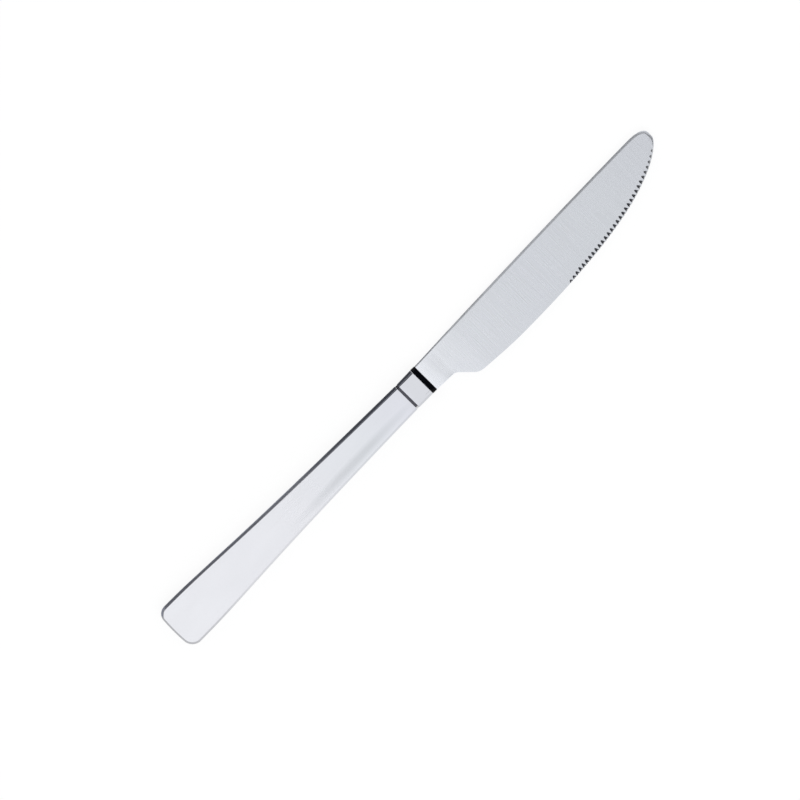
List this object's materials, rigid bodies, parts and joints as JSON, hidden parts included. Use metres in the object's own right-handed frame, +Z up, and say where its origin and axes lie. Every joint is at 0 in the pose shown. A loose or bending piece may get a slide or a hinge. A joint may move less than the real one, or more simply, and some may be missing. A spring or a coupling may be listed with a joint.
{
  "type": "table knife",
  "caption": "Table knife with a round-nosed blade, a serrated front edge, a black ring and collar at the neck, and a flat bevelled handle that flares to the butt.",
  "frame": {"origin": "under the middle of the knife's outline, on the plane that the handle's back face rests on", "axes": "+X along the knife to the nose of the blade, +Y across it to the spine, +Z up out of the serrated front face"},
  "size_m": [0.22, 0.02, 0.0064],
  "materials": {
    "blade_steel": "fine satin grind, one way along the blade",
    "handle_steel": "bright fine polish with faint lengthwise brushing",
    "ring_black": "glossy moulded black",
    "cement": "matte cast filler, sealed in the handle"
  },
  "bodies": {
    "root": {"blade": "blade_steel", "neck_ring": "ring_black", "collar": "handle_steel", "front_shell": "handle_steel", "back_shell": "handle_steel", "tang_cement": "cement"}
  },
  "joints": []
}
